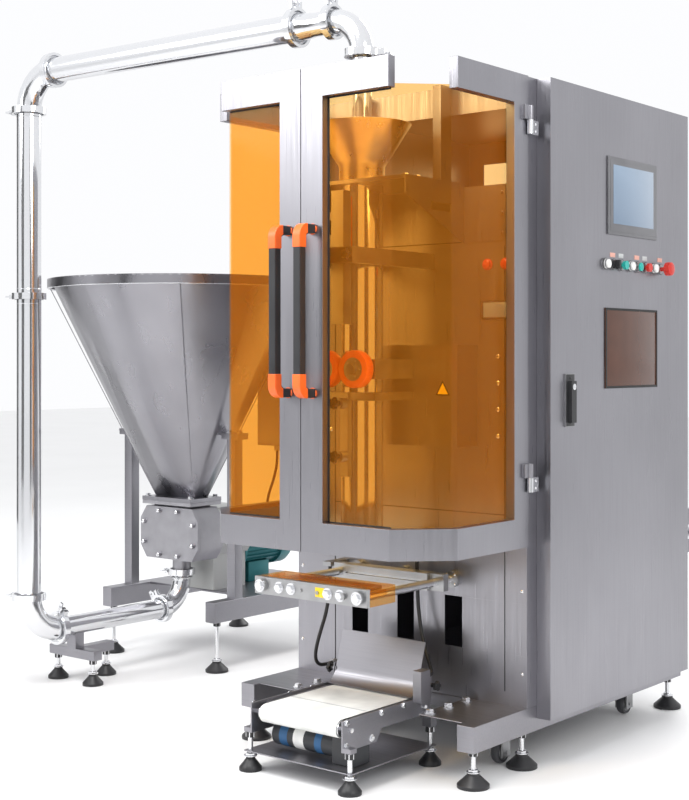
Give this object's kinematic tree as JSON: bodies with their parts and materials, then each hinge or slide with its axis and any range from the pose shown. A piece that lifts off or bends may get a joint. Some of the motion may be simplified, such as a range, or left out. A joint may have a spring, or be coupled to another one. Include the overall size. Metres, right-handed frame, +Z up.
{
  "type": "vertical form fill seal machine",
  "caption": "Upright bag making, filling and sealing machine with guarded forming section, side controls, pump-fed infeed pipe, hopper station and small discharge conveyor.",
  "frame": {"origin": "Middle of the whole machine's footprint, on the floor.", "axes": "+X runs from the pump station to the control side, +Y runs from the guard doors to the film reel, +Z is up."},
  "size_m": [2.1998, 1.6, 2.0103],
  "materials": {
    "stainless": "satin",
    "bright_steel": "polished",
    "grey_metal": "satin",
    "jaw_metal": "satin",
    "collar_sheet": "satin",
    "amber_sheet": "gloss",
    "orange_tyre": "satin",
    "black_plastic": "matte",
    "dark_screen": "gloss",
    "green_cap": "gloss",
    "red_cap": "gloss",
    "white_paint": "satin",
    "grey_paint": "satin",
    "teal_paint": "satin",
    "black_paint": "satin",
    "grey_rubber": "matte",
    "black_rubber": "matte",
    "white_belt": "satin"
  },
  "bodies": {
    "machine": {"base_frame": "stainless", "cabinet_shell": "stainless", "front_wall": "stainless", "electrical_plate": "white_paint", "hinge_pins": "bright_steel", "collar_mount": "stainless", "drive_cover": "stainless", "forming_tube": "bright_steel", "forming_collar": "collar_sheet", "film_brackets": "grey_metal", "jaw_drive": "grey_metal", "film_cradle": "stainless", "hopper": "stainless", "pump_stand": "stainless", "control_box": "grey_paint", "pump_body": "bright_steel", "pump_cover": "bright_steel", "pump_gearbox": "grey_paint", "pump_motor": "teal_paint", "feed_pipes": "bright_steel", "pipe_elbows": "bright_steel", "pipe_clamps": "bright_steel", "levelling_feet": "black_plastic", "caster_brackets": "grey_metal", "conveyor_frame": "stainless", "conveyor_belt": "white_belt", "conveyor_motor": "black_paint", "machine_cables": "black_rubber"},
    "side_door": {"electrical_door": "stainless", "door_displays": "dark_screen", "door_fittings": "grey_metal"},
    "lock": {"lock_lever": "black_plastic"},
    "start": {"start_button": "green_cap"},
    "stop": {"stop_button": "red_cap"},
    "selector": {"selector_knob": "black_plastic"},
    "estop": {"emergency_stop": "red_cap"},
    "guard_right": {"guard_frame_right": "stainless", "guard_window_right": "amber_sheet", "guard_handle_right": "black_plastic"},
    "guard_left": {"guard_frame_left": "stainless", "guard_window_left": "amber_sheet", "guard_handle_left": "black_plastic"},
    "wheel_left": {"pull_wheel_left": "orange_tyre"},
    "wheel_right": {"pull_wheel_right": "orange_tyre"},
    "long_seal": {"vertical_seal_bar": "jaw_metal"},
    "jaw_front": {"front_jaw": "jaw_metal", "jaw_guard": "amber_sheet", "jaw_rods": "bright_steel"},
    "jaw_rear": {"rear_jaw": "jaw_metal"},
    "knife": {"cutter_blade": "bright_steel"},
    "reel_shaft": {"film_shaft": "bright_steel"},
    "dancer": {"dancer_arm": "grey_metal"},
    "guide": {"guide_roller": "bright_steel"},
    "rotor_drive": {"drive_rotor": "bright_steel"},
    "rotor_idler": {"idler_rotor": "bright_steel"},
    "casters_front": {"caster_wheels_front": "grey_rubber"},
    "casters_rear": {"caster_wheels_rear": "grey_rubber"},
    "belt_drive": {"drive_roller": "bright_steel"},
    "belt_tail": {"tail_roller": "bright_steel"},
    "chute": {"chute_plate": "stainless"}
  },
  "joints": [
    {"name": "side_door_hinge", "type": "hinge", "parent": "machine", "child": "side_door", "pos_m": [1.044, 0.532, 0.9], "axis": [0, 0, 1], "range_deg": [0, 110]},
    {"name": "lock_turn", "type": "hinge", "parent": "side_door", "child": "lock", "pos_m": [1.064, -0.169, 0.969], "axis": [1, 0, 0], "range_deg": [0, 90]},
    {"name": "start_press", "type": "slide", "parent": "side_door", "child": "start", "axis": [-1, 0, 0], "range_m": [0, 0.005], "stiffness_N_per_m": 300},
    {"name": "stop_press", "type": "slide", "parent": "side_door", "child": "stop", "axis": [-1, 0, 0], "range_m": [0, 0.005], "stiffness_N_per_m": 300},
    {"name": "emergency_press", "type": "slide", "parent": "side_door", "child": "estop", "axis": [-1, 0, 0], "range_m": [0, 0.006]},
    {"name": "selector_turn", "type": "hinge", "parent": "side_door", "child": "selector", "pos_m": [1.064, 0.064, 1.297], "axis": [1, 0, 0], "range_deg": [-45, 45]},
    {"name": "guard_right_hinge", "type": "hinge", "parent": "machine", "child": "guard_right", "pos_m": [1.039, -0.315, 1.16], "axis": [0, 0, 1], "range_deg": [0, 110]},
    {"name": "guard_left_hinge", "type": "hinge", "parent": "machine", "child": "guard_left", "pos_m": [0.241, -0.315, 1.16], "axis": [0, 0, -1], "range_deg": [0, 110]},
    {"name": "pull_wheel_right_spin", "type": "hinge", "parent": "machine", "child": "wheel_right", "pos_m": [0.6883, -0.566, 1.015], "axis": [0, 1, 0], "continuous": true},
    {"name": "pull_wheel_left_spin", "type": "hinge", "parent": "machine", "child": "wheel_left", "pos_m": [0.5917, -0.566, 1.015], "axis": [0, 1, 0], "continuous": true},
    {"name": "long_seal_press", "type": "slide", "parent": "machine", "child": "long_seal", "axis": [0, 1, 0], "range_m": [0, 0.015]},
    {"name": "jaw_close", "type": "slide", "parent": "machine", "child": "jaw_front", "axis": [0, 1, 0], "range_m": [0, 0.095]},
    {"name": "jaw_counter", "type": "slide", "parent": "machine", "child": "jaw_rear", "axis": [0, -1, 0], "range_m": [0, 0.095]},
    {"name": "knife_stroke", "type": "slide", "parent": "jaw_rear", "child": "knife", "axis": [0, -1, 0], "range_m": [0, 0.012]},
    {"name": "reel_shaft_spin", "type": "hinge", "parent": "machine", "child": "reel_shaft", "pos_m": [0.64, 0.744, 0.5], "axis": [1, 0, 0], "continuous": true},
    {"name": "dancer_swing", "type": "hinge", "parent": "machine", "child": "dancer", "pos_m": [0.64, 0.624, 0.9], "axis": [1, 0, 0], "range_deg": [-20, 30]},
    {"name": "guide_roller_spin", "type": "hinge", "parent": "machine", "child": "guide", "pos_m": [0.64, 0.601, 1.55], "axis": [1, 0, 0], "continuous": true},
    {"name": "pump_drive_spin", "type": "hinge", "parent": "machine", "child": "rotor_drive", "pos_m": [-0.685, 0.094, 0.438], "axis": [0, 1, 0], "continuous": true},
    {"name": "pump_idler_spin", "type": "hinge", "parent": "machine", "child": "rotor_idler", "pos_m": [-0.595, 0.094, 0.438], "axis": [0, 1, 0], "continuous": true},
    {"name": "caster_front_roll", "type": "hinge", "parent": "machine", "child": "casters_front", "pos_m": [0.64, -0.302, 0.033], "axis": [1, 0, 0], "continuous": true},
    {"name": "caster_rear_roll", "type": "hinge", "parent": "machine", "child": "casters_rear", "pos_m": [0.64, 0.359, 0.033], "axis": [1, 0, 0], "continuous": true},
    {"name": "conveyor_drive_spin", "type": "hinge", "parent": "machine", "child": "belt_drive", "pos_m": [0.64, -0.431, 0.148], "axis": [1, 0, 0], "continuous": true},
    {"name": "conveyor_tail_spin", "type": "hinge", "parent": "machine", "child": "belt_tail", "pos_m": [0.64, -0.731, 0.148], "axis": [1, 0, 0], "continuous": true},
    {"name": "chute_tilt", "type": "hinge", "parent": "machine", "child": "chute", "pos_m": [0.64, -0.411, 0.202], "axis": [1, 0, 0], "range_deg": [-6, 2]}
  ],
  "couplings": [
    {"joint": "pull_wheel_left_spin", "follows": "pull_wheel_right_spin", "ratio": -1},
    {"joint": "jaw_counter", "follows": "jaw_close", "ratio": 1},
    {"joint": "pump_idler_spin", "follows": "pump_drive_spin", "ratio": -1},
    {"joint": "conveyor_tail_spin", "follows": "conveyor_drive_spin", "ratio": 1}
  ]
}
